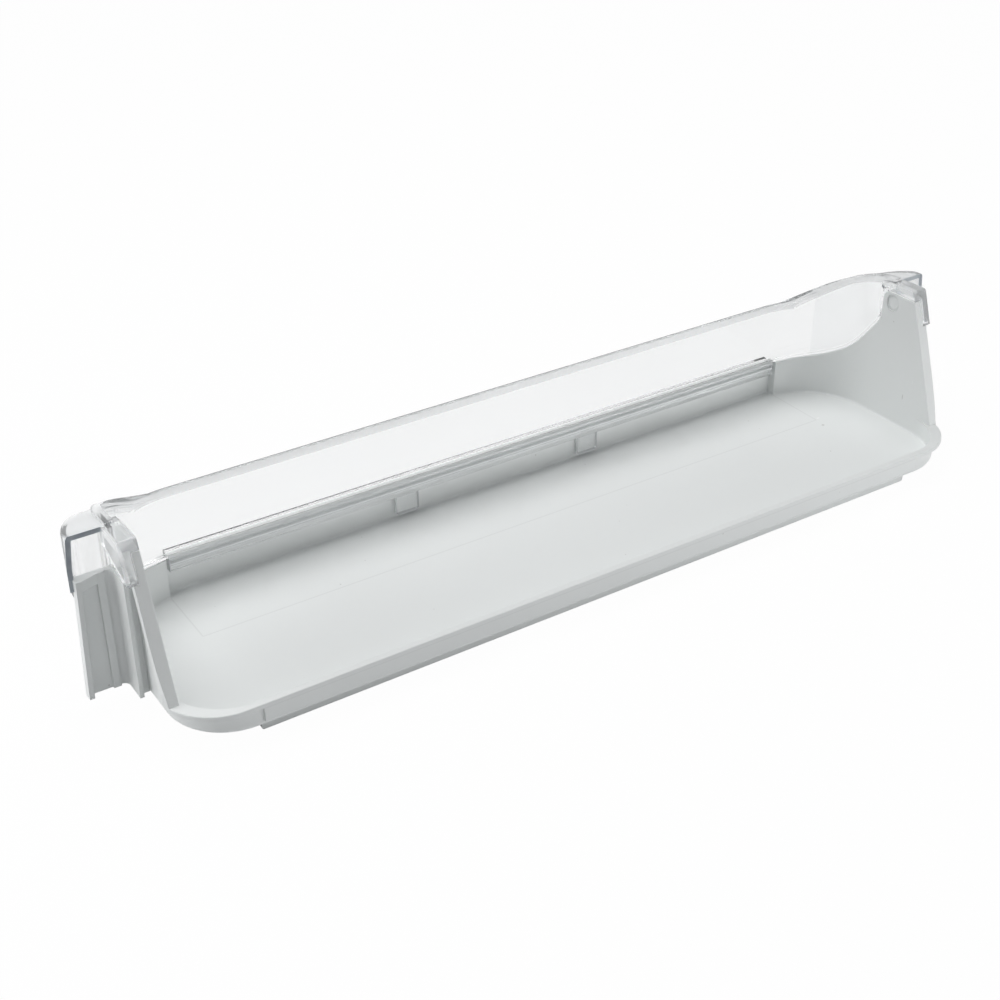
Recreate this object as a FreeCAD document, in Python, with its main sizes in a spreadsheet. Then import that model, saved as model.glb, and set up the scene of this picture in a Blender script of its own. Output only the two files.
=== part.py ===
# Fridge door shelf: a white moulded tray with a clear moulded guard that clips on to it.
# X runs along the shelf, Y from the door side to the guard side, Z up.
# In the pieces' own frame Y = 0 is the tray's face towards the door and Z = 0 is the top of its floor.
# A placement then brings the origin to the middle of the shelf's foot.
import FreeCAD, Part
import math
import os
import Sketcher

doc = FreeCAD.newDocument("door_shelf")
sheet = doc.addObject("Spreadsheet::Sheet", "Sizes")

# Driving sizes in millimetres, angles in degrees. Heights are above the top of the floor.
SIZES = [
    ("inner_length", 437, "clear length between the two end walls"),
    ("inner_depth", 108, "face towards the door to the low wall's inner face"),
    ("wall", 2.2, "wall of the tray"),
    ("floor_thickness", 2.3, "floor of the tray"),
    ("floor_round", 1.2, "round where the floor meets its walls"),
    ("bottom_round", 3, "round where the tray's underside meets its outer faces"),
    ("near_corner", 27, "plan radius of the tray's two corners on the door side"),
    ("far_corner", 39.5, "plan radius of the tray's two corners on the guard side"),
    ("lip_width", 3.2, "low lip on the door side, from its outer to its inner face"),
    ("lip_corner", 27.7, "plan radius of the lip band's outer corners"),
    ("lip_height", 10, "top of that lip"),
    ("strip_inset", 29.5, "end wall's inner face to the proud strip along the lip"),
    ("strip_foot", 0.8, "lower edge of that strip"),
    ("rib_inset", 30.2, "end wall's inner face to the rib that the shelf stands on"),
    ("rib_reach", 6.4, "near face of that rib, from the face towards the door"),
    ("rib_drop", 8.3, "lower edge of that rib, below the floor's top"),
    ("rib_round", 1.2, "round of the rib's lower corners"),
    ("edge_round", 0.6, "small round along the tray's upper edges"),
    ("low_wall_height", 19.7, "low wall beside the two steps"),
    ("step_inset", 32.9, "end wall's inner face to the step in the low wall"),
    ("recess_depth", 4.1, "how far the low wall is set outwards between its two steps"),
    ("recess_wall_height", 18.6, "top of that stretch"),
    ("end_wall_height", 74.2, "top of the end walls"),
    ("end_wall_round", 5, "round of the end wall's far upper corner"),
    ("slope_foot", 18.8, "near edge of the end wall at the lip, from the face towards the door"),
    ("slope_head", 66.7, "near edge of the end wall at its top, in front of the low wall"),
    ("flange_width", 6, "flange along that edge, out from the wall's inner face"),
    ("flange_depth", 4.2, "flange from its near face to its back"),
    ("flange_step", 61.2, "where the flange narrows to take the clip"),
    ("flange_narrow", 3.7, "flange width above that step"),
    ("far_edge", 44.1, "upright far edge of the end wall, in front of the low wall"),
    ("shoulder_height", 56.2, "where that edge turns into the sweep down to the low wall"),
    ("shoulder_round", 8, "round of that turn"),
    ("sweep_reach", 22, "bend of the sweep, in front of the low wall"),
    ("sweep_height", 27.2, "bend of the sweep"),
    ("sweep_round", 45, "radius of the sweep"),
    ("sweep_end", 20.4, "sweep where it reaches the low wall"),
    ("seat_reach", 7.4, "clip's seat on the end wall's inner face, middle in front of the far edge"),
    ("seat_drop", 5.9, "middle of the seat below the end wall's top"),
    ("seat_width", 8.4, "seat across"),
    ("seat_tall", 9.5, "seat from top to bottom"),
    ("seat_round", 4, "rounded ends of the seat"),
    ("seat_depth", 0.7, "depth of the seat"),
    ("wing_span", 23.7, "end wall's inner face to the wing's outer face"),
    ("wing_face", 47.5, "wing wall's near face, in front of the low wall"),
    ("wing_height", 57.8, "top of the wing"),
    ("wing_foot", 1.5, "lower edge of the wing, below the floor's top"),
    ("web_offset", 5.4, "end wall's inner face to the web that carries the wing"),
    ("web_wall", 1.9, "thickness of that web"),
    ("web_reach", 14.2, "near edge of that web, in front of the wing wall"),
    ("tie_reach", 11.5, "wall that ties the web to the end wall, in front of the wing wall"),
    ("web_fillet", 3, "round between web and wing wall"),
    ("outer_rib", 2.3, "width of the rib at the wing's outer edge"),
    ("outer_rib_depth", 3.4, "how far that rib stands out of the wing wall"),
    ("wing_lean", 2.1, "how far that rib's foot leans out, so that the groove is wider at its mouth"),
    ("inner_rib_offset", 10.5, "end wall's inner face to the wing's inner rib"),
    ("inner_rib", 3.5, "width of the inner rib"),
    ("inner_rib_depth", 1.2, "how far the inner rib stands out"),
    ("groove_top", 52.9, "where the grooves between the ribs are closed"),
    ("skin", 2.2, "wall of the guard"),
    ("fit", 0.2, "clearance between guard and tray"),
    ("hood_corner", 70, "plan radius of the hood's outer corner"),
    ("hood_lean", 11.9, "lean of the hood's side inwards, degrees"),
    ("hood_side", 3.1, "where that side would start to lean, in front of the wing wall"),
    ("hood_lap", 0.6, "open near end of the hood, in front of the wing wall"),
    ("hood_foot", 52.3, "lower edge of the hood at that end"),
    ("hood_top", 79.5, "top of the hood at that end"),
    ("hood_shoulder", 22.6, "meeting of the hood's level top line and its slope, in front of the low wall"),
    ("hood_slope", 43.9, "fall of the hood's top at the front, degrees"),
    ("hood_arc", 91, "radius of the hood's top seen from the end"),
    ("hood_draft", 5.5, "lean of the hood's side inwards above the wing, degrees"),
    ("hood_round", 3.2, "round of the hood's top into that side"),
    ("skirt_lap", 1.4, "guard's lower edge below the tray's edge that it passes"),
    ("rim_height", 54, "top of the guard's rim along the front"),
    ("rim_proud", 1, "rim standing above the hood's skin"),
    ("rim_depth", 4, "height of the rim bead"),
    ("rim_side", 1, "rim bead standing out to each side of the wall"),
    ("rim_arc", 80, "radius of the rim seen from the end"),
    ("rim_turn", 6, "round where the rim levels out along the front"),
    ("ledge_thickness", 1.2, "clear ledge that lies on the tray's edge"),
    ("channel_gap", 1.9, "end of the channel that grips the low wall, short of the step"),
    ("channel_top", 21.5, "top of that channel"),
    ("channel_bead", 12.8, "lower edge of its inner leg"),
    ("channel_round", 1.6, "round of the inner leg"),
    ("channel_outer", 8, "lower edge of its outer leg"),
    ("tongue_spacing", 111.4, "distance between the middles of the two tongues"),
    ("tongue_width", 13.5, "width of a tongue"),
    ("tongue_foot", 1.4, "lower edge of a tongue"),
    ("tongue_thickness", 1.6, "thickness of a tongue"),
    ("tongue_chamfer", 1.6, "cut corners of a tongue"),
    ("cap_reach", 9, "end wall's inner face to the cap's outer face"),
    ("cap_lap", 6.1, "far end of the cap, inside the hood"),
    ("cap_round", 1.5, "round of the cap's near upper edge"),
    ("cap_leg_turn", 7.9, "where the lower edge of the cap's leg turns up, in front of the hood"),
    ("cap_leg_rise", 4.3, "rise of that lower edge on its way there"),
]
NUMBERS = {alias: number for alias, number, meaning in SIZES}
for row, (alias, number, meaning) in enumerate(SIZES, start=1):
    sheet.set(f"A{row}", meaning)
    sheet.set(f"B{row}", str(number))
    sheet.setAlias(f"B{row}", alias)
doc.recompute()


def sizes(text):
    """Expression in which every size's name is read from the sheet."""
    words = []
    word = ""
    for letter in text + " ":
        if letter.isalnum() or letter == "_":
            word += letter
        else:
            words.append("Sizes." + word if word in NUMBERS else word)
            words.append(letter)
            word = ""
    return "".join(words).strip()


def measure(text):
    """Number that an expression stands for."""
    return float(sheet.evalExpression(sizes(text)))


# Places that several features share.
END_IN = "inner_length / 2"
END_OUT = "inner_length / 2 + wall"
STEP = "(inner_length / 2 - step_inset)"
CHANNEL_END = "(inner_length / 2 - step_inset - channel_gap)"
LOW_OUT = "inner_depth + wall"
RECESS_IN = "inner_depth + recess_depth"
RECESS_OUT = "inner_depth + recess_depth + wall"
FLANGE_OUT = "inner_length / 2 + flange_width"
WING_OUT = "inner_length / 2 + wing_span"
WEB_IN = "inner_length / 2 + web_offset"
SLOPE_HEAD = "(inner_depth - slope_head)"
SLOPE = "(inner_depth - slope_head - slope_foot) / (end_wall_height - lip_height)"
FAR_EDGE = "(inner_depth - far_edge)"
SWEEP = "(inner_depth - sweep_reach)"
WING_FACE = "(inner_depth - wing_face)"
HOOD_END = "(inner_depth - wing_face - hood_lap)"
HOOD_SIDE = "(inner_depth - wing_face - hood_side)"
HOOD_SHOULDER = "(inner_depth - hood_shoulder)"
PANEL_OUT = "inner_depth + recess_depth + skin"
HOOD_OUT = "inner_length / 2 + wing_span + fit + skin"
GUARD_IN = "inner_length / 2 + recess_depth"
GUARD_RADIUS = "far_corner + recess_depth"
CAP_OUT = "inner_length / 2 + cap_reach"
CAP_FOOT = "flange_step + fit"
FAR_FACE = "inner_depth + recess_depth + wall + fit + skin"
ABOVE = "hood_top + 20"
BELOW = "-rib_drop - 10"
BEYOND = "inner_depth + 40"
BEFORE = "-lip_width"
LIP_FOOT = "lip_height - wall"


def near_edge(height):
    """Near edge of the end wall at a height, as an expression for Y."""
    return f"slope_foot + ({height} - lip_height) * {SLOPE}"


def pin(sketch, geometry, point, corner, number):
    """Holds a point of the sketch at its two driving distances from the origin."""
    for name, kind, axis, text in (("x", "DistanceX", -2, corner[0]), ("y", "DistanceY", -1, corner[1])):
        if text == "0":
            sketch.addConstraint(Sketcher.Constraint("PointOnObject", geometry, point, axis))
            continue
        index = sketch.addConstraint(Sketcher.Constraint(kind, -1, 1, geometry, point, measure(text)))
        sketch.renameConstraint(index, f"{name}{number}")
        sketch.setExpression(f"Constraints.{name}{number}", sizes(text))


def end_at(sketch, geometry, spot):
    """Which end of an arc, 1 or 2, lies at a spot."""
    return min((1, 2), key=lambda point: sketch.getPoint(geometry, point).distanceToPoint(spot))


def outline(sketch, corners):
    """Closed outline through corners (x, y), or (x, y, radius) where an arc rounds the corner."""
    spots = [FreeCAD.Vector(measure(corner[0]), measure(corner[1]), 0) for corner in corners]
    count = len(corners)
    first = sketch.GeometryCount
    arrive, leave, arcs = [], [], {}
    for number, corner in enumerate(corners):
        here = spots[number]
        back = (spots[number - 1] - here).normalize()
        ahead = (spots[(number + 1) % count] - here).normalize()
        if len(corner) == 2:
            arrive.append(here)
            leave.append(here)
            continue
        radius = measure(corner[2])
        half = back.getAngle(ahead) / 2
        middle = (back + ahead).normalize()
        arrive.append(here + back * (radius / math.tan(half)))
        leave.append(here + ahead * (radius / math.tan(half)))
        arcs[number] = here + middle * (radius / math.sin(half) - radius)
    for number in range(count):
        sketch.addGeometry(Part.LineSegment(leave[number], arrive[(number + 1) % count]))
    for number, corner in enumerate(corners):
        before, after = first + (number - 1) % count, first + number
        if number not in arcs:
            sketch.addConstraint(Sketcher.Constraint("Coincident", before, 2, after, 1))
            pin(sketch, after, 1, corner, first + number)
            continue
        arc = sketch.addGeometry(Part.Arc(arrive[number], arcs[number], leave[number]))
        vertex = sketch.addGeometry(Part.Point(spots[number]), True)
        starts = end_at(sketch, arc, arrive[number])
        sketch.addConstraint(Sketcher.Constraint("Tangent", before, 2, arc, starts))
        sketch.addConstraint(Sketcher.Constraint("Tangent", after, 1, arc, 3 - starts))
        sketch.addConstraint(Sketcher.Constraint("PointOnObject", vertex, 1, before))
        sketch.addConstraint(Sketcher.Constraint("PointOnObject", vertex, 1, after))
        index = sketch.addConstraint(Sketcher.Constraint("Radius", arc, measure(corner[2])))
        sketch.renameConstraint(index, f"r{first + number}")
        sketch.setExpression(f"Constraints.r{first + number}", sizes(corner[2]))
        pin(sketch, vertex, 1, corner, first + number)


def opposite(corners):
    """Mirror images of the corners in X, in reverse order."""
    return [(f"-({corner[0]})",) + tuple(corner[1:]) for corner in reversed(corners)]


def mirrored(corners):
    """The corners of the right half and their mirror images, as one outline across the middle."""
    return list(corners) + opposite(corners)


def band(outer, inner):
    """Outline of a wall between two half paths, each given from its right end to the middle."""
    return mirrored(outer) + opposite(mirrored(inner)[:len(inner)])[::-1] + list(reversed(inner))


# The tray is one body of pads and pockets.
tray = doc.addObject("PartDesign::Body", "ShelfTray")
tray.Label = "shelf_tray"


def tray_plane(role):
    """One of the tray's own origin planes."""
    return next(item for item in tray.Origin.OriginFeatures if item.Role == role)


def tray_sketch(name, role, corners, level):
    """Sketch on one of those planes, moved along its normal to a level."""
    sketch = tray.newObject("Sketcher::SketchObject", name)
    sketch.AttachmentSupport = [(tray_plane(role), "")]
    sketch.MapMode = "FlatFace"
    if level != "0":
        sketch.setExpression("AttachmentOffset.Base.z", sizes(level))
    outline(sketch, corners)
    doc.recompute()
    return sketch


def pad(name, role, corners, level, length):
    """Pad of an outline from a level, over a length."""
    feature = tray.newObject("PartDesign::Pad", name)
    feature.Profile = tray_sketch(name + "Outline", role, corners, level)
    feature.setExpression("Length", sizes(length))
    doc.recompute()
    return feature


def pocket(name, role, corners, level, length, side="One side"):
    """Pocket of an outline from a level, over a length, that has to take material away."""
    before = tray.Shape.Volume
    feature = tray.newObject("PartDesign::Pocket", name)
    feature.Profile = tray_sketch(name + "Outline", role, corners, level)
    feature.SideType = side
    feature.setExpression("Length", sizes(length))
    feature.Reversed = side == "One side"
    doc.recompute()
    if tray.Shape.Volume >= before:
        raise ValueError(name + " takes nothing away")
    return feature


def rounded(name, radius, chosen):
    """Fillet of the tray's edges that a test chooses."""
    base = tray.Tip
    names = [f"Edge{number}" for number, edge in enumerate(base.Shape.Edges, start=1) if chosen(edge)]
    feature = tray.newObject("PartDesign::Fillet", name)
    feature.Base = (base, names)
    feature.setExpression("Radius", sizes(radius))
    doc.recompute()
    return feature


def at_height(edge, text):
    """Whether the whole edge lies at a height."""
    height = measure(text)
    return max(abs(edge.BoundBox.ZMin - height), abs(edge.BoundBox.ZMax - height)) < 0.001


def shell_plan(grow):
    """Half plan of the tray's walls, grown outwards from their inner faces."""
    return [
        (f"{END_IN} + {grow}", f"lip_width - {grow}", f"near_corner + {grow}"),
        (f"{END_IN} + {grow}", f"inner_depth + {grow}", f"far_corner + {grow}"),
    ]


def recess_plan(grow):
    """Half plan of the low wall's recess between the steps, grown outwards from its inner faces."""
    side = f"{STEP} + {grow}"
    return [(side, "inner_depth - wall"), (side, f"{RECESS_IN} + {grow}")]


def is_rib_end(edge):
    """Whether the edge is the lower one of an end of the rib."""
    return at_height(edge, "-rib_drop") and edge.BoundBox.XLength < 0.001


def is_upper(edge):
    """Whether the edge is the lip's outer one, or an upper or sloping edge of an end wall."""
    box = edge.BoundBox
    lip = at_height(edge, "lip_height") and box.YMin < 0.001
    top = at_height(edge, "end_wall_height") and box.YLength > measure("flange_depth") + 0.001
    ends = abs(box.ZMin - measure("lip_height")), abs(box.ZMax - measure("end_wall_height"))
    return lip or top or max(ends) < 0.001


def make_shell():
    """Floor and walls, hollowed out and cut to the line of their upper edge."""
    height = "end_wall_height + floor_thickness"
    pad("Block", "XY_Plane", mirrored(shell_plan("wall")), "-floor_thickness", height)
    rounded("BottomRound", "bottom_round", lambda edge: at_height(edge, "-floor_thickness"))
    pad("RecessBlock", "XY_Plane", mirrored(recess_plan("wall")), "-floor_thickness", height)
    lip_plan = [(FLANGE_OUT, f"{SLOPE_HEAD} + flange_depth"), (FLANGE_OUT, "0", "lip_corner")]
    pad("LipBlock", "XY_Plane", mirrored(lip_plan), LIP_FOOT, f"end_wall_height - ({LIP_FOOT})")
    pocket("Hollow", "XY_Plane", mirrored(shell_plan("0")), "0", ABOVE)
    pocket("Recess", "XY_Plane", mirrored(recess_plan("0")), "0", ABOVE)
    ledge = [(END_IN, BEFORE), (END_IN, "lip_width + near_corner")]
    pocket("LipLedge", "XY_Plane", mirrored(ledge), "lip_height", ABOVE)
    inner = measure(f"{END_IN} + wall / 2")
    rounded("FloorRound", "floor_round", lambda edge: at_height(edge, "0") and edge.BoundBox.XMax < inner)
    upper_edge = [
        (BEFORE, "lip_height"),
        (near_edge("lip_height"), "lip_height"),
        (near_edge("end_wall_height"), "end_wall_height"),
        (FAR_EDGE, "end_wall_height", "end_wall_round"),
        (FAR_EDGE, "shoulder_height", "shoulder_round"),
        (SWEEP, "sweep_height", "sweep_round"),
        (LOW_OUT, "sweep_end"),
        (BEYOND, "low_wall_height"),
        (BEYOND, ABOVE),
        (BEFORE, ABOVE),
    ]
    pocket("UpperEdge", "YZ_Plane", upper_edge, "0", "inner_length * 2", "Symmetric")
    step = [
        (STEP, "inner_depth - wall"),
        (STEP, LOW_OUT),
        (f"{STEP} + wall * 2", LOW_OUT),
        (f"{STEP} + wall * 2", BEYOND),
    ]
    pocket("RecessTop", "XY_Plane", mirrored(step), "recess_wall_height", ABOVE)
    rounded("UpperRound", "edge_round", is_upper)


def make_lip():
    """Proud strip along the lip on the door side, and the rib that the shelf stands on."""
    strip_end = "inner_length / 2 - strip_inset"
    strip = [(strip_end, "0"), (strip_end, "lip_width - wall / 2")]
    pad("Strip", "XY_Plane", mirrored(strip), "strip_foot", "lip_height - strip_foot - wall / 2")
    rib_end = "inner_length / 2 - rib_inset"
    rib = [(rib_end, "rib_reach"), (rib_end, "rib_reach + wall")]
    pad("FootRib", "XY_Plane", mirrored(rib), "-rib_drop", "rib_drop - floor_thickness / 2")
    rounded("RibRound", "rib_round", is_rib_end)


def slope_strip(low, high, depth):
    """Strip seen from the end that runs up the sloping near edge of the end wall."""
    return [
        (near_edge(low), low),
        (near_edge(high), high),
        (f"{near_edge(high)} + {depth}", high),
        (f"{near_edge(low)} + {depth}", low),
    ]


def wing_edge(place):
    """Upright line of the wing, seen from the door side, that leans out below the groove's closed top."""
    return [
        (f"{place} + wing_lean", "-wing_foot"),
        (place, "groove_top"),
        (place, "wing_height"),
    ]


def make_ends():
    """Back of the flange, its step, the mounting wing and the clip's seat, mirrored to the left end."""
    behind = [
        (f"{near_edge(LIP_FOOT)} + flange_depth", LIP_FOOT),
        (f"{near_edge('end_wall_height')} + flange_depth", "end_wall_height"),
        (BEYOND, "end_wall_height"),
        (BEYOND, LIP_FOOT),
    ]
    back = pocket("FlangeBack", "YZ_Plane", behind, END_OUT, "flange_width")
    upper = [
        (BEFORE, "flange_step"),
        (BEYOND, "flange_step"),
        (BEYOND, ABOVE),
        (BEFORE, ABOVE),
    ]
    step = pocket("FlangeStep", "YZ_Plane", upper, f"{END_IN} + flange_narrow", "flange_width")
    rib_in = f"{END_IN} + inner_rib_offset"
    rib_out = f"{END_IN} + inner_rib_offset + inner_rib"
    groove_out = f"{WING_OUT} - outer_rib"
    wing_plan = [
        (WEB_IN, f"{WING_FACE} - web_reach"),
        (f"{WEB_IN} + web_wall", f"{WING_FACE} - web_reach"),
        (f"{WEB_IN} + web_wall", WING_FACE, "web_fillet"),
        (rib_in, WING_FACE),
        (rib_in, f"{WING_FACE} - inner_rib_depth"),
        (rib_out, f"{WING_FACE} - inner_rib_depth"),
        (rib_out, f"{WING_FACE} + wall / 2"),
        (WEB_IN, f"{WING_FACE} + wall / 2"),
    ]
    inner_edge = [(f"{END_IN} + wall / 2", "wing_height"), (f"{END_IN} + wall / 2", "-wing_foot")]
    wall_face = wing_edge(f"{WING_OUT} - outer_rib / 2") + inner_edge
    wall = pad("WingWall", "XZ_Plane", wall_face, f"-({WING_FACE} + wall)", "wall")
    wing = pad("Wing", "XY_Plane", wing_plan, "-wing_foot", "wing_foot + wing_height")
    rib_face = wing_edge(WING_OUT) + list(reversed(wing_edge(groove_out)))
    rib = pad("WingRib", "XZ_Plane", rib_face, f"-({WING_FACE} + wall / 2)", "wall / 2 + outer_rib_depth")
    tie_plan = [
        (f"{END_IN} + wall / 2", f"{WING_FACE} - tie_reach"),
        (f"{WEB_IN} + web_wall / 2", f"{WING_FACE} - tie_reach"),
        (f"{WEB_IN} + web_wall / 2", f"{WING_FACE} - tie_reach + wall"),
        (f"{END_IN} + wall / 2", f"{WING_FACE} - tie_reach + wall"),
    ]
    tie = pad("WingTie", "XY_Plane", tie_plan, "-wing_foot", "wing_foot + wing_height")
    head_plan = [
        (rib_in, f"{WING_FACE} - inner_rib_depth"),
        (rib_out, f"{WING_FACE} - inner_rib_depth"),
        (groove_out, f"{WING_FACE} - outer_rib_depth"),
        (WING_OUT, f"{WING_FACE} - outer_rib_depth"),
        (WING_OUT, f"{WING_FACE} + wall / 2"),
        (rib_in, f"{WING_FACE} + wall / 2"),
    ]
    head = pad("WingHead", "XY_Plane", head_plan, "groove_top", "wing_height - groove_top")
    middle, height = f"{FAR_EDGE} - seat_reach", "end_wall_height - seat_drop"
    seat = [
        (f"{middle} - seat_width / 2", f"{height} - seat_tall / 2", "seat_round"),
        (f"{middle} + seat_width / 2", f"{height} - seat_tall / 2", "seat_round"),
        (f"{middle} + seat_width / 2", f"{height} + seat_tall / 2", "seat_round"),
        (f"{middle} - seat_width / 2", f"{height} + seat_tall / 2", "seat_round"),
    ]
    seat = pocket("ClipSeat", "YZ_Plane", seat, END_IN, "seat_depth")
    ends = tray.newObject("PartDesign::Mirrored", "OtherEnd")
    ends.Originals = [back, step, wing, wall, rib, tie, head, seat]
    ends.MirrorPlane = (tray_plane("YZ_Plane"), [""])
    tray.Tip = ends
    doc.recompute()


# The guard is built from extruded outlines, one seen from above meeting one seen from the end.
VIEWS = {
    "above": ("z", FreeCAD.Rotation()),
    "end": ("x", FreeCAD.Rotation(90, 0, 90)),
    "face": ("y", FreeCAD.Rotation(0, 0, 90)),
}


def extruded(name, view, corners, level, length):
    """Extrusion of an outline seen in a view, towards Z, X or -Y, from a level over a length."""
    axis, turn = VIEWS[view]
    sketch = doc.addObject("Sketcher::SketchObject", name + "Outline")
    sketch.Placement = FreeCAD.Placement(FreeCAD.Vector(), turn)
    sketch.setExpression(f"Placement.Base.{axis}", sizes(level))
    outline(sketch, corners)
    solid = doc.addObject("Part::Extrusion", name)
    solid.Base = sketch
    solid.DirMode = "Normal"
    solid.Solid = True
    solid.setExpression("LengthFwd", sizes(length))
    return solid


def plan_block(name, corners):
    """Upright block over a plan outline, taller than the guard."""
    return extruded(name, "above", corners, BELOW, f"{ABOVE} - ({BELOW})")


def end_block(name, corners):
    """Block along the whole shelf with an outline seen from the end."""
    return extruded(name, "end", corners, f"-({HOOD_OUT}) - 10", f"({HOOD_OUT} + 10) * 2")


def boolean(kind, name, base, tool):
    """Cut or common of two solids."""
    result = doc.addObject("Part::" + kind, name)
    result.Base = base
    result.Tool = tool
    doc.recompute()
    return result


def fused(name, pieces):
    """One solid from several."""
    result = doc.addObject("Part::MultiFuse", name)
    result.Shapes = pieces
    result.Refine = True
    doc.recompute()
    return result


def other_end(solid):
    """Mirror image of a solid at the left end."""
    image = doc.addObject("Part::Mirroring", solid.Name + "Left")
    image.Source = solid
    image.Normal = (1, 0, 0)
    return image


def fall(lower):
    """Corners of the hood's top line seen from the end, lowered squarely to itself."""
    reach = f"({BEYOND} - {HOOD_SHOULDER}) * tan(hood_slope)"
    return [
        (BEFORE, f"hood_top - {lower}"),
        (f"{HOOD_SHOULDER} - {lower} * tan(hood_slope / 2)", f"hood_top - {lower}", f"hood_arc - {lower}"),
        (BEYOND, f"hood_top - {reach} - {lower} / cos(hood_slope)"),
    ]


def rim_line(lower):
    """Corners of the rim's line seen from the end: the hood's fall, then level along the front."""
    level_off = f"{HOOD_SHOULDER} + (hood_top + rim_proud - rim_height) / tan(hood_slope)"
    return [
        (BEFORE, f"hood_top + rim_proud - {lower}"),
        (HOOD_SHOULDER, f"hood_top + rim_proud - {lower}", "rim_arc"),
        (level_off, f"rim_height - {lower}", "rim_turn"),
        (BEYOND, f"rim_height - {lower}"),
    ]


def guard_path(grow, near):
    """Half path of the guard's inner wall, grown outwards from its inner face."""
    return [
        (f"{GUARD_IN} + {grow}", near),
        (f"{GUARD_IN} + {grow}", f"{RECESS_IN} + {grow}", f"{GUARD_RADIUS} + {grow}"),
    ]


def hood_face(name, inwards, near):
    """Block as wide as the hoods, upright beside the wings and leaning in above them, from a near end."""
    side = f"{HOOD_OUT} - {inwards}"
    lean = "(hood_top - wing_height) * tan(hood_draft)"
    face = [
        (side, BELOW),
        (side, "wing_height"),
        (f"{side} - {lean}", f"hood_top - {inwards}", f"hood_round - {inwards}"),
    ]
    return extruded(name, "face", mirrored(face), BEYOND, f"{BEYOND} - ({near})")


def make_hood():
    """Front panel, inner corner walls and the two hoods, as one skin that is open below."""
    lean = f"({PANEL_OUT} - {HOOD_SIDE}) * tan(hood_lean)"
    form_plan = [(HOOD_OUT, HOOD_SIDE), (f"{HOOD_OUT} - {lean}", PANEL_OUT, "hood_corner")]
    form_side = fall("0") + [
        (BEYOND, "recess_wall_height + fit"),
        (RECESS_IN, "recess_wall_height + fit"),
        (SWEEP, "sweep_height - skirt_lap", "sweep_round"),
        (f"{FAR_EDGE} + fit", "hood_foot"),
        (BEFORE, "hood_foot"),
    ]
    form = boolean("Common", "HoodForm", plan_block("HoodPlan", mirrored(form_plan)),
                   end_block("HoodSide", form_side))
    form = boolean("Common", "HoodSkin", form, hood_face("HoodFace", "0", HOOD_END))
    inner_side = f"{HOOD_OUT} - skin / cos(hood_lean)"
    inner_lean = f"({RECESS_IN} - {HOOD_SIDE}) * tan(hood_lean)"
    core_plan = [
        (inner_side, BEFORE),
        (inner_side, HOOD_SIDE),
        (f"{inner_side} - {inner_lean}", RECESS_IN, "hood_corner - skin"),
    ]
    core_side = fall("skin") + [(BEYOND, BELOW), (BEFORE, BELOW)]
    core = boolean("Common", "HoodCore", plan_block("CorePlan", mirrored(core_plan)),
                   end_block("CoreSide", core_side))
    core = boolean("Common", "HoodRoom", core, hood_face("CoreFace", "skin", BEFORE))
    corner_walls = plan_block("CornerWalls", mirrored(guard_path("skin", BEFORE)))
    hollow = boolean("Cut", "HoodHollow", core, corner_walls)
    inside = plan_block("Inside", mirrored(guard_path("0", BEFORE)))
    skins = boolean("Cut", "HoodSkins", boolean("Cut", "HoodShell", form, hollow), inside)
    room_plan = [(f"{WING_OUT} + fit", BEFORE), (f"{WING_OUT} + fit", f"{WING_FACE} + wall + fit")]
    room = extruded("WingRoom", "above", mirrored(room_plan), BELOW, f"wing_height + fit - ({BELOW})")
    return boolean("Cut", "Hood", skins, room)


def make_rim():
    """Bead along the top of the guard's inner wall."""
    rim_plan = band(guard_path("skin + rim_side", HOOD_END), guard_path("-rim_side", HOOD_END))
    rim_side = rim_line("0") + list(reversed(rim_line("rim_depth")))
    return boolean("Common", "Rim", plan_block("RimPlan", rim_plan), end_block("RimBand", rim_side))


def ledge_line(lift, out):
    """Corners of the tray's upper edge beyond the end wall, lifted and moved out."""
    return [
        (f"{FAR_EDGE} + fit + {out}", "end_wall_height"),
        (f"{FAR_EDGE} + fit + {out}", f"shoulder_height + fit + {lift} / 2", "shoulder_round"),
        (f"{SWEEP} + {out} / 2", f"sweep_height + fit + {lift}", "sweep_round"),
        (LOW_OUT, f"sweep_end + fit + {lift}"),
        (BEYOND, f"low_wall_height + fit + {lift}"),
    ]


def make_ledge():
    """Clear ledge that lies on the tray's upper edge beside the steps and round the far corners."""
    outer = guard_path("skin / 2", FAR_EDGE)
    ledge_plan = band(outer, guard_path("fit - recess_depth", FAR_EDGE))
    ledge_side = ledge_line("0", "0") + list(reversed(ledge_line("ledge_thickness", "ledge_thickness")))
    ledge = boolean("Common", "LedgeRound", plan_block("LedgePlan", ledge_plan),
                    end_block("LedgeBand", ledge_side))
    between = [(CHANNEL_END, BEFORE), (CHANNEL_END, BEYOND)]
    middle = plan_block("LedgeMiddle", mirrored(between))
    return boolean("Cut", "Ledge", ledge, middle)


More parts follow.
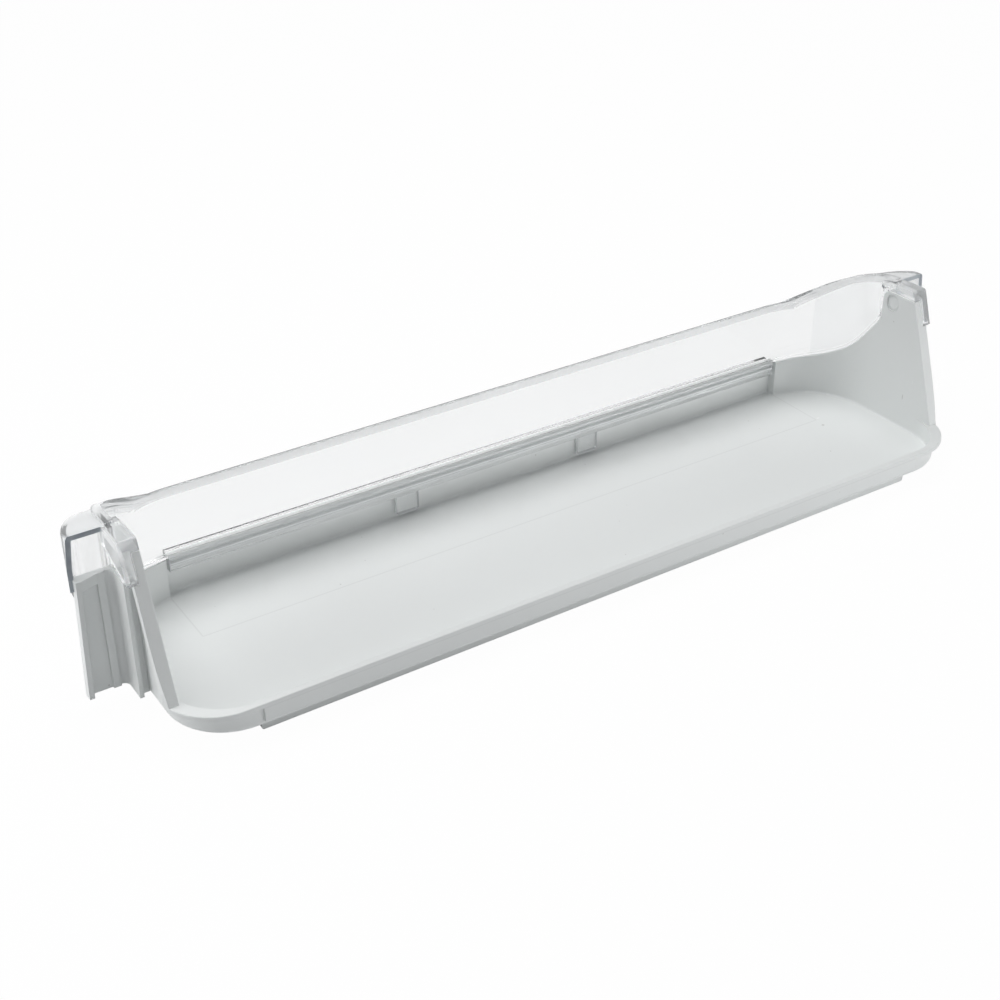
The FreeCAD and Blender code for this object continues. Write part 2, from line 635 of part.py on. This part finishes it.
def make_channel():
    """Channel over the low wall between the steps, and the two tongues on its inner leg."""
    channel_side = [
        ("inner_depth", "channel_bead", "channel_round"),
        ("inner_depth", "channel_top", "channel_round"),
        (FAR_FACE, "channel_top"),
        (FAR_FACE, "channel_outer"),
        (f"{RECESS_OUT} + fit", "channel_outer"),
        (f"{RECESS_OUT} + fit", "recess_wall_height + fit"),
        (f"{RECESS_IN} - fit", "recess_wall_height + fit"),
        (f"{RECESS_IN} - fit", "channel_bead"),
    ]
    channel = extruded("Channel", "end", channel_side, f"-{CHANNEL_END}", f"{CHANNEL_END} * 2")
    inner, outer = "(tongue_spacing - tongue_width) / 2", "(tongue_spacing + tongue_width) / 2"
    tongue_face = [
        (inner, "channel_bead + channel_round"),
        (inner, "tongue_foot + tongue_chamfer"),
        (f"{inner} + tongue_chamfer", "tongue_foot"),
        (f"{outer} - tongue_chamfer", "tongue_foot"),
        (outer, "tongue_foot + tongue_chamfer"),
        (outer, "channel_bead + channel_round"),
    ]
    tongue = extruded("Tongue", "face", tongue_face, f"{RECESS_IN} - fit", "tongue_thickness")
    return [channel, tongue, other_end(tongue)]


def make_caps():
    """Cap over the top of each end wall, with a sloping plate and a leg outside the wall."""
    top_side = [
        (near_edge("end_wall_height + fit"), "end_wall_height + fit"),
        (near_edge("hood_top"), "hood_top", "cap_round"),
        (f"{HOOD_END} + cap_lap", "hood_top"),
        (f"{HOOD_END} + cap_lap", "end_wall_height + fit"),
    ]
    reach = f"{END_IN} + fit"
    top = extruded("CapTop", "end", top_side, reach, f"{CAP_OUT} - ({reach})")
    under = end_block("CapLimit", fall("0") + [(BEYOND, BELOW), (BEFORE, BELOW)])
    top = boolean("Common", "CapTopCut", top, under)
    plate_in = f"{END_IN} + flange_narrow + fit"
    plate = extruded("CapPlate", "end", slope_strip(CAP_FOOT, "hood_top - skin / 2", "skin"), plate_in,
                     f"{CAP_OUT} - ({plate_in})")
    leg_side = [
        (near_edge(CAP_FOOT), CAP_FOOT),
        (near_edge("hood_top - skin / 2"), "hood_top - skin / 2"),
        (f"{HOOD_END} + skin", "hood_top - skin / 2"),
        (f"{HOOD_END} + skin", f"{CAP_FOOT} + cap_leg_rise * 2"),
        (f"{HOOD_END} - cap_leg_turn", f"{CAP_FOOT} + cap_leg_rise"),
    ]
    leg = extruded("CapLeg", "end", leg_side, f"{CAP_OUT} - skin", "skin")
    right = [top, plate, leg]
    return right + [other_end(solid) for solid in right]


make_shell()
make_lip()
make_ends()
guard = fused("FrontGuard", [make_hood(), make_rim(), make_ledge()] + make_channel() + make_caps())
guard.Label = "front_guard"

nodes = [tray, guard]
for node in nodes:
    node.setExpression("Placement.Base.y", sizes(f"-({FAR_FACE}) / 2"))
    node.setExpression("Placement.Base.z", sizes("rib_drop"))
doc.recompute()

for item in doc.Objects:
    if "Invalid" in item.State or "Error" in item.State:
        raise RuntimeError(f"{item.Name} is {item.State}")
for node in nodes:
    if node.Shape.isNull() or not node.Shape.isValid() or len(node.Shape.Solids) != 1:
        raise RuntimeError(f"{node.Label} is not one sound solid")

os.makedirs("parts", exist_ok=True)
for node in nodes:
    node.Shape.exportStep(f"parts/{node.Label}.step")
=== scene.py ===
import math
from functools import reduce

import bpy
from bpy.props import FloatProperty, FloatVectorProperty, PointerProperty
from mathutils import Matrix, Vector

bl_info = {
    "name": "Fridge Door Shelf",
    "version": (1, 0, 0),
    "blender": (4, 5, 0),
    "location": "3D View > Sidebar > Shelf",
    "description": "Finishes for a white door shelf with a clear guard, and the studio that shows it",
    "category": "Object",
}

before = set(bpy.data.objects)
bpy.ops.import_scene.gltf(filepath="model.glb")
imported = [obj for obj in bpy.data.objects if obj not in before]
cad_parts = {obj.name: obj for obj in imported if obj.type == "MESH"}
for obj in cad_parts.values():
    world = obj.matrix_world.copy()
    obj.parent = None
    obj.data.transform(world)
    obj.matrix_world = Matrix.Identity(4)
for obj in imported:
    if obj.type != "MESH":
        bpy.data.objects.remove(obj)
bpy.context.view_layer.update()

# Places on the tray, in metres in the shelf's own frame
INSERT_END = 0.1856
INSERT_SIDE = 0.01275
INSERT_TOP = 0.0098
INSERT_LINE_WIDTH = 0.0005
PARTING_HEIGHT = 0.0161
PARTING_END = 0.189
PARTING_LINE_WIDTH = 0.0004
LIP_FACE = -0.0578
DISH_CENTRE = (0.2175, -0.00185, 0.0766)
DISH_RADII = (0.01, 0.0046, 0.0052)
CORNER_ROUNDING = 0.0005

# Marks on the tray that the photo shows, each a centre, its radii and how strongly it shows
DARK_MARKS = (
    ((0.2175, -0.0177, 0.0265), (0.002, 0.0004, 0.0024), 1.0),
    ((0.1847, 0.0063, 0.0083), (0.0011, 0.0009, 0.001), 0.8),
)
PALE_CHIPS = (
    ((0.188, 0.0139, 0.0083), (0.0012, 0.0006, 0.001), 1.0),
    ((0.2175, -0.0232, 0.0377), (0.002, 0.0003, 0.0018), 0.6),
)

# Places on the guard, in metres: its tongues and its channel
TONGUE_MIDDLE = 0.0557
TONGUE_EDGE = (0.0060, 0.0066)
TONGUE_TOP = 0.0209
TONGUE_FOOT = 0.0100
TONGUE_FOOT_WIDTH = 0.0008
TONGUE_BACK = 0.0537
FROST_EDGE = (0.0062, 0.0072)
FROST_BACK = 0.0535
FROST_TOP = 0.0303
CHANNEL_END = 0.1842
CHANNEL_CUT = 0.1834
CHANNEL_TOP = 0.0299
LEG_BACK = 0.0514
# Height and width of a painted shadow line across the channel's inner leg
LEG_SHADOW_LINE = 0.0271
LEG_SHADOW_LINE_WIDTH = 0.0010
LEG_SHOULDER = 0.0279
# Height and width of a painted highlight line across the channel's inner leg
LEG_HIGHLIGHT_LINE = 0.0257
LEG_HIGHLIGHT_LINE_WIDTH = 0.0008
LEG_FOOT = 0.0214
LEG_FOOT_WIDTH = 0.0005

# Places on the guard, in metres: its panel, caps and hoods
PANEL_FACE = 0.05
PANEL_END = 0.2
RIM_RISE = (0.052, 0.056)
BEAD_FOOT = 0.0590
CAP_START = (0.208, 0.214)
CAP_BACK = 0.0015
HOOD_FACE = 0.0016
HOOD_START = 0.19
HOOD_SIDE = 0.2385
ARCH_MIDDLE_Y = -0.0053
ARCH_MIDDLE_Z = 0.0088
ARCH_RADIUS = 0.0762
CUT_FACE = 0.00155
CUT_DEPTH = 0.0002
CUT_START = 0.2268

# The middle of what a noise gives
NOISE_MEAN = 0.5

# How much each thing changes the tray's colour, its roughness and its height
TRAY_COLOR = {"grain": 0.035, "insert": 0.25, "parting": 0.18, "scuffs": 0.25}
TRAY_ROUGHNESS = {"cloud": 0.06, "grain": 0.08, "scuffs": 0.12, "patch": 0.03}
TRAY_HEIGHT = {"grain": 0.35, "lines": -0.9, "scuffs": -0.3}
TRAY_IOR = 1.5

# How much each thing changes the guard's colour and its roughness
# The guard's colour takes a painted shadow line on the channel's inner leg and painted shade on the hoods'
# cut end faces
GUARD_COLOR = {"painted_shadow": 0.7, "cut": 0.85}
GUARD_ROUGHNESS = {"cloud": 0.02, "hairs": 0.25, "dust": 0.5, "frost": 0.08, "rim": 0.1}
GUARD_IOR = 1.4
EDGE_ROUGHNESS = 0.3

# How milky each place of the guard is, from 0 to 1, and how strong the painted highlight line on the
# channel's inner leg is
HAZE_AND_HIGHLIGHT = {
    "all": 0.02,
    "cap": 0.24,
    "bead": 0.28,
    "hood side": 0.2,
    "tongue": 0.75,
    "shoulder": 0.5,
    "groove": 0.8,
    "foot": 0.4,
}

# Colours of marks and of the guard's edges, with the grey of a painted shadow line, the milky white that
# also paints a highlight line, and the painted shade of the hoods' cut faces
LINE_GREY = (0.55, 0.56, 0.56)
DIRT = (0.36, 0.35, 0.33)
CHIP_WHITE = (1.0, 1.0, 1.0)
SCUFF_WHITE = (0.93, 0.94, 0.94)
PAINTED_SHADOW_GREY = (0.45, 0.47, 0.48)
# Painted shadow: grey for a dark line across the channel's inner leg, where shade falls between the leg and
# the tray's wall
DUST_GREY = (0.60, 0.60, 0.58)
# Milky white, also used for the painted highlight line on the channel's inner leg
MILK_AND_HIGHLIGHT_WHITE = (0.86, 0.88, 0.89)
# Painted shade: two blue-greys for the dark that the hoods' clear cut faces show by internal reflection
PAINTED_CUT_SHADE_DARK = (0.27, 0.31, 0.36)
PAINTED_CUT_SHADE_PALE = (0.43, 0.47, 0.51)

# The stage: lights with their place, target, width and height, rays that see white, and the camera
LIGHTS = {
    "key": ((-0.08, 0.32, 1.3), (0, 0.05, 0.02), 1.3, 0.75),
    "left": ((-1.1, 0.25, 0.55), (0, 0, 0.03), 0.8, 0.6),
    "end": ((-0.62, 0.14, 0.2), (-0.24, 0, 0.04), 0.3, 0.25),
    "right": ((0.39, -0.54, 0.05), (0.1, -0.05, 0.02), 0.3, 0.08),
}
GROUND_REACH = 60
GROUND_COLOR = (0.80, 0.805, 0.81)
GROUND_RAYS = {"Is Camera Ray": 0.98, "Is Transmission Ray": 0.82, "Is Glossy Ray": 0.75}
SKY_RAYS = {"Is Transmission Ray": 0.9, "Is Glossy Ray": 0.6}
SKY_WHITE = (1, 1, 1, 1)
SKY_FILL = (0.95, 0.975, 1.0, 1)
CAMERA_PLACE = (-0.3918, -0.5494, 0.4339)
CAMERA_DEGREES = (58.743, 0.179, -33.19)
CAMERA_SENSOR = 36.0
CAMERA_NEAREST = 0.01


class TraySizes(bpy.types.PropertyGroup):
    """Finish of the white tray."""

    color: FloatVectorProperty(
        name="Colour", description="Colour of the white plastic",
        subtype="COLOR", size=3, min=0.0, max=1.0, default=(0.815, 0.835, 0.83))
    roughness: FloatProperty(
        name="Roughness", description="Roughness of the satin surface",
        default=0.42, min=0.0, max=1.0, subtype="FACTOR")
    grain: FloatProperty(
        name="Grain", description="Size of the surface's fine grain",
        default=0.0006, min=0.0001, max=0.01, unit="LENGTH")
    wear: FloatProperty(
        name="Wear", description="Amount of specks and scuffs",
        default=0.5, min=0.0, max=1.0, subtype="FACTOR")


class GuardSizes(bpy.types.PropertyGroup):
    """Finish of the clear guard."""

    color: FloatVectorProperty(
        name="Tint", description="Tint of the clear plastic",
        subtype="COLOR", size=3, min=0.0, max=1.0, default=(0.982, 0.987, 0.989))
    roughness: FloatProperty(
        name="Roughness", description="Roughness of the polished surface",
        default=0.035, min=0.0, max=1.0, subtype="FACTOR")
    wear: FloatProperty(
        name="Wear", description="Amount of hairline scratches and dust",
        default=0.4, min=0.0, max=1.0, subtype="FACTOR")


class StageSizes(bpy.types.PropertyGroup):
    """Camera, lights and ground."""

    key: FloatProperty(
        name="Key light", description="Power of the light overhead", default=13.3, min=0.0)
    left: FloatProperty(
        name="Left light", description="Power of the light on the left", default=1.0, min=0.0)
    end: FloatProperty(
        name="End light", description="Power of the small light by the left end", default=0.8, min=0.0)
    right: FloatProperty(
        name="Right light", description="Power of the light on the right", default=1.25, min=0.0)
    ambient: FloatProperty(
        name="Ambient", description="Light from all round", default=0.15, min=0.0)
    lens: FloatProperty(
        name="Lens", description="Focal length in millimetres", default=57.49, min=10.0, max=300.0)


class Socket:
    """An output of a shader node that takes part in Python arithmetic."""

    def __init__(self, graph, output):
        self.graph = graph
        self.output = output

    def math(self, operation, *values):
        """The result of one Math node."""
        return self.graph.node("ShaderNodeMath", {"operation": operation}, *values)

    def __add__(self, other):
        return self.math("ADD", self, other)

    def __radd__(self, other):
        return self.math("ADD", other, self)

    def __sub__(self, other):
        return self.math("SUBTRACT", self, other)

    def __rsub__(self, other):
        return self.math("SUBTRACT", other, self)

    def __mul__(self, other):
        return self.math("MULTIPLY", self, other)

    def __rmul__(self, other):
        return self.math("MULTIPLY", other, self)

    def __abs__(self):
        return self.math("ABSOLUTE", self)

    def __lt__(self, other):
        return self.math("LESS_THAN", self, other)

    def __gt__(self, other):
        return self.math("GREATER_THAN", self, other)

    def most(self, other):
        """The higher of two."""
        return self.math("MAXIMUM", self, other)


class Graph:
    """A material's node tree, built by calls."""

    def __init__(self, name):
        self.material = bpy.data.materials.new(name)
        self.material.use_nodes = True
        self.tree = self.material.node_tree
        self.tree.nodes.clear()

    def node(self, kind, settings, *values, output=0, **named):
        """Adds a node, its settings first, then its inputs by order or by name; gives one output."""
        made = self.tree.nodes.new(kind)
        for name, value in settings.items():
            setattr(made, name, value)
        for index, value in enumerate(values):
            self.feed(made.inputs[index], value)
        for name, value in named.items():
            self.feed(made.inputs[name.replace("_", " ")], value)
        return Socket(self, made.outputs[output])

    def feed(self, socket, value):
        """Links a socket, or sets its value."""
        if isinstance(value, Socket):
            self.tree.links.new(value.output, socket)
        elif hasattr(value, "__len__") and len(value) == 3 and socket.type == "RGBA":
            socket.default_value = (*value, 1.0)
        else:
            socket.default_value = value

    def place(self):
        """Object coordinates, which are metres in the part's own frame."""
        return self.node("ShaderNodeTexCoord", {}, output="Object")

    def axes(self, vector):
        """The three parts of a vector."""
        return [self.node("ShaderNodeSeparateXYZ", {}, vector, output=axis) for axis in "XYZ"]

    def noise(self, vector, scale, detail=2.0, rough=0.5):
        """Cloudy noise from 0 to 1."""
        return self.node(
            "ShaderNodeTexNoise", {}, Vector=vector, Scale=scale, Detail=detail, Roughness=rough)

    def band(self, value, low, high):
        """0 below low, 1 above high and an even rise between."""
        return self.node("ShaderNodeMapRange", {"clamp": True}, value, low, high, 0.0, 1.0)

    def mix(self, factor, first, second):
        """Colour between two; a Mix node keeps its colours in inputs 6 and 7 and its result in output 2."""
        made = self.tree.nodes.new("ShaderNodeMix")
        made.data_type = "RGBA"
        self.feed(made.inputs[0], factor)
        self.feed(made.inputs[6], first)
        self.feed(made.inputs[7], second)
        return Socket(self, made.outputs[2])

    def coats(self, color, *coats):
        """A colour with others laid over it, each a mask and its own colour."""
        for mask, over in coats:
            color = self.mix(mask, color, over)
        return color

    def bump(self, height, strength, distance, normal=None):
        """The normal with a height on it, over another normal if one is given."""
        named = {"Strength": strength, "Distance": distance, "Height": height}
        if normal:
            named["Normal"] = normal
        return self.node("ShaderNodeBump", {}, **named)

    def finish(self, shader):
        """Links the shader to the output and gives the material."""
        out = self.tree.nodes.new("ShaderNodeOutputMaterial")
        self.tree.links.new(shader.output, out.inputs["Surface"])
        return self.material


def strongest(*masks):
    """The highest of several masks at each point."""
    return reduce(Socket.most, masks)


def line(graph, distance, width):
    """1 on a line where distance is 0, falling to 0 at its width."""
    return 1.0 - graph.band(abs(distance), low=width * 0.4, high=width)


def dots(graph, place, scale, size):
    """1 inside small dots scattered at random."""
    cells = graph.node(
        "ShaderNodeTexVoronoi", {"feature": "F1"},
        Vector=place, Scale=scale, Randomness=1.0, output="Distance")
    return 1.0 - graph.band(cells, low=size * 0.6, high=size)


def scratches(graph, place, turn, stretch, detail):
    """Noise drawn out into fine streaks along one turned direction."""
    along = graph.node("ShaderNodeMapping", {}, place, (0, 0, 0), turn, stretch)
    return graph.noise(along, scale=1.0, detail=detail)


def spot(graph, axes, centre, radii):
    """1 inside a small ellipsoid with a soft edge."""
    steps = [(axis - middle) * (1.0 / radius) for axis, middle, radius in zip(axes, centre, radii)]
    return 1.0 - graph.band(sum(step * step for step in steps), low=0.4, high=1.0)


def spots(graph, axes, marks):
    """Several spots as one mask."""
    return strongest(*[spot(graph, axes, centre, radii) * strength for centre, radii, strength in marks])


def darker(color, share):
    """A colour with each part times a share."""
    return tuple(value * share for value in color)


def total(base, shares, **masks):
    """A base value with each mask times its share added."""
    for name, mask in masks.items():
        base = base + mask * shares[name]
    return base


def mould_lines(graph, x, y, z):
    """The line round the mould's insert in the floor, and the parting line along the lip."""
    side = abs(x)
    low = z < INSERT_TOP
    insert = strongest(
        line(graph, side - INSERT_END, INSERT_LINE_WIDTH) * (y > INSERT_SIDE) * low,
        line(graph, y - INSERT_SIDE, INSERT_LINE_WIDTH) * (side < INSERT_END) * low)
    parting = line(graph, z - PARTING_HEIGHT, PARTING_LINE_WIDTH) * (y < LIP_FACE) * (side < PARTING_END)
    return insert, parting


def white_plastic(sizes):
    """Satin white moulding with grain, mould lines, scuffs, a few marks and a little dust."""
    graph = Graph("white moulded plastic")
    place = graph.place()
    x, y, z = graph.axes(place)
    cloud = graph.noise(place, scale=9.0, detail=3.0)
    fine = graph.noise(place, scale=1.0 / sizes.grain, detail=2.0, rough=0.6)
    patch = graph.band(graph.noise(place, scale=42.0, detail=4.0, rough=0.6), low=0.35, high=0.7)
    insert, parting = mould_lines(graph, x, y, z)
    dusty = graph.band(graph.noise(place, scale=21.0, detail=1.0), low=0.52, high=0.6)
    specks = dots(graph, place, scale=95.0, size=0.045) * dusty
    streaks = scratches(graph, place, turn=(0, 0, 0.6), stretch=(30.0, 900.0, 300.0), detail=2.0)
    scuffs = graph.band(streaks, low=0.66, high=0.74) * patch
    marks = spots(graph, (x, y, z), DARK_MARKS)
    chips = spots(graph, (x, y, z), PALE_CHIPS)
    shade = graph.coats(
        darker(sizes.color, 0.985),
        (graph.band(cloud, low=0.3, high=0.7), sizes.color),
        (graph.band(fine, low=0.25, high=0.75) * TRAY_COLOR["grain"], LINE_GREY),
        (insert * TRAY_COLOR["insert"] + parting * TRAY_COLOR["parting"], LINE_GREY),
        ((specks + marks) * sizes.wear, DIRT),
        (chips * sizes.wear, CHIP_WHITE),
        (scuffs * sizes.wear * TRAY_COLOR["scuffs"], SCUFF_WHITE))
    rough = total(
        sizes.roughness, TRAY_ROUGHNESS,
        cloud=cloud - NOISE_MEAN, grain=fine - NOISE_MEAN, scuffs=scuffs, patch=patch)
    height = total(0.0, TRAY_HEIGHT, grain=fine, lines=insert + parting, scuffs=scuffs)
    dish = spot(graph, (abs(x), y, z), DISH_CENTRE, DISH_RADII)
    waves = graph.noise(place, scale=26.0, detail=2.0)
    normal = graph.node("ShaderNodeBevel", {"samples": 4}, Radius=CORNER_ROUNDING)
    normal = graph.bump(dish, strength=0.9, distance=0.0008, normal=normal)
    normal = graph.bump(height, strength=0.22, distance=0.00006, normal=normal)
    normal = graph.bump(waves, strength=0.12, distance=0.0006, normal=normal)
    shader = graph.node(
        "ShaderNodeBsdfPrincipled", {}, Base_Color=shade, Roughness=rough, IOR=TRAY_IOR, Normal=normal)
    return graph.finish(shader)


def on_leg(x, y):
    """1 on the channel's inner leg."""
    return (y < LEG_BACK) * (abs(x) < CHANNEL_END)


def rim_haze(graph, x, y, z):
    """How milky the caps, the rim's bead and the hoods' sides are."""
    side = abs(x)
    caps = HAZE_AND_HIGHLIGHT["all"] + graph.band(side, *CAP_START) * (y < CAP_BACK) * HAZE_AND_HIGHLIGHT["cap"]
    across = y - ARCH_MIDDLE_Y
    up = z - ARCH_MIDDLE_Z
    arch = (across * across + up * up > ARCH_RADIUS ** 2) * (y > HOOD_FACE) * (side > HOOD_START)
    panel = (y > PANEL_FACE) * (side < PANEL_END)
    bead = arch.most(panel) * (z > BEAD_FOOT) * HAZE_AND_HIGHLIGHT["bead"]
    sides = (side > HOOD_SIDE) * (y > HOOD_FACE) * HAZE_AND_HIGHLIGHT["hood side"]
    return strongest(caps, bead, sides)


def channel_haze_and_highlight(graph, x, y, z):
    """How milky the tongues' edges, the channel's ends and the steps of its inner leg are, with a painted
    highlight line on the leg in the same milky white.
    """
    side = abs(x)
    edges = graph.band(abs(side - TONGUE_MIDDLE), *TONGUE_EDGE)
    edges = edges.most(line(graph, z - TONGUE_FOOT, TONGUE_FOOT_WIDTH)) * (z < TONGUE_TOP)
    tongues = edges.most(side > CHANNEL_CUT) * (y < TONGUE_BACK) * (z < CHANNEL_TOP)
    steps = strongest(
        (z > LEG_SHOULDER) * HAZE_AND_HIGHLIGHT["shoulder"],
        # Painted highlight: a milky white line across the inner leg
        line(graph, z - LEG_HIGHLIGHT_LINE, LEG_HIGHLIGHT_LINE_WIDTH) * HAZE_AND_HIGHLIGHT["groove"],
        line(graph, z - LEG_FOOT, LEG_FOOT_WIDTH) * HAZE_AND_HIGHLIGHT["foot"])
    return strongest(tongues * (side < CHANNEL_END) * HAZE_AND_HIGHLIGHT["tongue"], steps * on_leg(x, y))


def clear_plastic(sizes):
    """Polished clear moulding with a cool tint, hairlines, dust and milky edges, a painted shadow line and
    a painted highlight line on the channel's leg, and painted blue-grey shade on the hoods' cut faces.
    """
    graph = Graph("clear moulded plastic")
    place = graph.place()
    x, y, z = graph.axes(place)
    cloud = graph.noise(place, scale=14.0, detail=3.0)
    streaks = scratches(graph, place, turn=(0.2, 0.5, 0.9), stretch=(25.0, 1400.0, 500.0), detail=1.0)
    worn = graph.band(graph.noise(place, scale=30.0, detail=2.0), low=0.5, high=0.65)
    hairs = graph.band(streaks, low=0.70, high=0.76) * worn
    dusty = graph.band(graph.noise(place, scale=17.0, detail=1.0), low=0.55, high=0.62)
    dust = dots(graph, place, scale=140.0, size=0.04) * dusty
    tongue = 1.0 - graph.band(abs(abs(x) - TONGUE_MIDDLE), *FROST_EDGE)
    frost = tongue * (y < FROST_BACK) * (z < FROST_TOP)
    rim = graph.band(z, *RIM_RISE) * (y > PANEL_FACE)
    # Painted shadow: a grey line across the channel's inner leg
    painted_shadow = line(graph, z - LEG_SHADOW_LINE, LEG_SHADOW_LINE_WIDTH) * on_leg(x, y)
    tint = graph.coats(
        darker(sizes.color, 0.992),
        (graph.band(cloud, low=0.35, high=0.65), sizes.color),
        (painted_shadow * GUARD_COLOR["painted_shadow"], PAINTED_SHADOW_GREY),
        (dust * sizes.wear, DUST_GREY))
    rough = total(
        sizes.roughness, GUARD_ROUGHNESS,
        cloud=cloud - NOISE_MEAN, hairs=hairs * sizes.wear, dust=dust * sizes.wear, frost=frost, rim=rim)
    normal = graph.bump(graph.noise(place, scale=34.0, detail=2.0), strength=0.04, distance=0.0004)
    clear = graph.node(
        "ShaderNodeBsdfPrincipled", {}, Base_Color=tint, Roughness=rough, IOR=GUARD_IOR,
        Transmission_Weight=1.0, Normal=normal)
    milky = graph.node(
        "ShaderNodeBsdfPrincipled", {}, Base_Color=MILK_AND_HIGHLIGHT_WHITE, Roughness=EDGE_ROUGHNESS,
        IOR=GUARD_IOR, Normal=normal)
    haze_and_highlight = strongest(rim_haze(graph, x, y, z), channel_haze_and_highlight(graph, x, y, z))
    body = graph.node("ShaderNodeMixShader", {}, haze_and_highlight, clear, milky)
    # Painted shade for the hoods' cut faces, between two blue-greys
    grey = graph.band(graph.noise(place, scale=160.0, detail=2.0), low=0.3, high=0.7)
    painted_cut_shade = graph.mix(grey, PAINTED_CUT_SHADE_DARK, PAINTED_CUT_SHADE_PALE)
    cut = graph.node(
        "ShaderNodeBsdfPrincipled", {}, Base_Color=painted_cut_shade, Roughness=EDGE_ROUGHNESS, Normal=normal)
    # The hoods' cut end faces, where the painted shade goes
    edge = (abs(y - CUT_FACE) < CUT_DEPTH) * (abs(x) > CUT_START)
    return graph.finish(graph.node("ShaderNodeMixShader", {}, edge * GUARD_COLOR["cut"], body, cut))


def put_on(material, node):
    """Gives a CAD node its finish in every slot."""
    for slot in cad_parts[node].material_slots:
        slot.material = material


class SHELF_OT_tray(bpy.types.Operator):
    """Give the tray its white plastic"""

    bl_idname = "shelf.tray"
    bl_label = "White Tray"

    def execute(self, context):
        put_on(white_plastic(context.scene.shelf_tray_sizes), "shelf_tray")
        return {"FINISHED"}


class SHELF_OT_guard(bpy.types.Operator):
    """Give the guard its clear plastic"""

    bl_idname = "shelf.guard"
    bl_label = "Clear Guard"

    def execute(self, context):
        put_on(clear_plastic(context.scene.shelf_guard_sizes), "front_guard")
        return {"FINISHED"}


def softbox(name, place, target, width, height, power):
    """Rectangular light at a place, aimed at a target."""
    lamp = bpy.data.lights.new(name, "AREA")
    lamp.shape = "RECTANGLE"
    lamp.size = width
    lamp.size_y = height
    lamp.energy = power
    holder = bpy.data.objects.new(name, lamp)
    holder.location = place
    holder.rotation_euler = (Vector(target) - Vector(place)).to_track_quat("-Z", "Y").to_euler()
    bpy.context.scene.collection.objects.link(holder)


def ground():
    """Pale floor under the shelf that shows nearly white and keeps the shadow."""
    mesh = bpy.data.meshes.new("ground")
    corners = [(x * GROUND_REACH, y * GROUND_REACH, 0) for x, y in ((-1, -1), (1, -1), (1, 1), (-1, 1))]
    mesh.from_pydata(corners, [], [(0, 1, 2, 3)])
    plane = bpy.data.objects.new("ground", mesh)
    bpy.context.scene.collection.objects.link(plane)
    graph = Graph("pale ground")
    seen = strongest(*[
        graph.node("ShaderNodeLightPath", {}, output=ray) * share for ray, share in GROUND_RAYS.items()])
    lit = graph.node("ShaderNodeBsdfDiffuse", {}, Color=GROUND_COLOR)
    glow = graph.node("ShaderNodeEmission", {}, Color=(1.0, 1.0, 1.0), Strength=1.0)
    mesh.materials.append(graph.finish(graph.node("ShaderNodeMixShader", {}, seen, lit, glow)))


def sky(ambient):
    """White surroundings for the eye and for reflections, and an even fill light."""
    world = bpy.data.worlds.new("studio")
    world.use_nodes = True
    bpy.context.scene.world = world
    tree = world.node_tree
    tree.nodes.clear()
    path = tree.nodes.new("ShaderNodeLightPath")
    white = tree.nodes.new("ShaderNodeBackground")
    white.inputs["Color"].default_value = SKY_WHITE
    fill = tree.nodes.new("ShaderNodeBackground")
    fill.inputs["Color"].default_value = SKY_FILL
    fill.inputs["Strength"].default_value = ambient
    seen = path.outputs["Is Camera Ray"]
    for ray, share in SKY_RAYS.items():
        step = tree.nodes.new("ShaderNodeMath")
        step.operation = "MULTIPLY_ADD"
        step.inputs[1].default_value = share
        tree.links.new(path.outputs[ray], step.inputs[0])
        tree.links.new(seen, step.inputs[2])
        seen = step.outputs[0]
    mix = tree.nodes.new("ShaderNodeMixShader")
    tree.links.new(seen, mix.inputs[0])
    tree.links.new(fill.outputs[0], mix.inputs[1])
    tree.links.new(white.outputs[0], mix.inputs[2])
    out = tree.nodes.new("ShaderNodeOutputWorld")
    tree.links.new(mix.outputs[0], out.inputs["Surface"])


class SHELF_OT_stage(bpy.types.Operator):
    """Set up the ground, lights, surroundings and camera"""

    bl_idname = "shelf.stage"
    bl_label = "Stage"

    def execute(self, context):
        sizes = context.scene.shelf_stage_sizes
        ground()
        sky(sizes.ambient)
        for name, (place, target, width, height) in LIGHTS.items():
            softbox(f"{name} light", place, target, width, height, getattr(sizes, name))
        camera = bpy.data.cameras.new("camera")
        camera.lens = sizes.lens
        camera.sensor_width = CAMERA_SENSOR
        camera.clip_start = CAMERA_NEAREST
        holder = bpy.data.objects.new("camera", camera)
        holder.location = CAMERA_PLACE
        holder.rotation_euler = [math.radians(angle) for angle in CAMERA_DEGREES]
        context.scene.collection.objects.link(holder)
        context.scene.camera = holder
        context.scene.view_settings.view_transform = "Standard"
        return {"FINISHED"}


class SHELF_PT_panel(bpy.types.Panel):
    """Sizes, finishes and builders of the shelf"""

    bl_idname = "SHELF_PT_panel"
    bl_label = "Door Shelf"
    bl_space_type = "VIEW_3D"
    bl_region_type = "UI"
    bl_category = "Shelf"

    def draw(self, context):
        for group, builder in BUILDERS:
            box = self.layout.box()
            sizes = getattr(context.scene, group)
            for name in sizes.__annotations__:
                box.prop(sizes, name)
            box.operator(builder.bl_idname)


BUILDERS = (
    ("shelf_tray_sizes", SHELF_OT_tray),
    ("shelf_guard_sizes", SHELF_OT_guard),
    ("shelf_stage_sizes", SHELF_OT_stage),
)
GROUPS = {
    "shelf_tray_sizes": TraySizes,
    "shelf_guard_sizes": GuardSizes,
    "shelf_stage_sizes": StageSizes,
}
CLASSES = (*GROUPS.values(), SHELF_OT_tray, SHELF_OT_guard, SHELF_OT_stage, SHELF_PT_panel)


def register():
    for item in CLASSES:
        bpy.utils.register_class(item)
    for name, group in GROUPS.items():
        setattr(bpy.types.Scene, name, PointerProperty(type=group))


def unregister():
    for name in GROUPS:
        delattr(bpy.types.Scene, name)
    for item in reversed(CLASSES):
        bpy.utils.unregister_class(item)


def main():
    register()
    bpy.ops.shelf.tray()
    bpy.ops.shelf.guard()
    bpy.ops.shelf.stage()


if __name__ == "__main__":
    main()
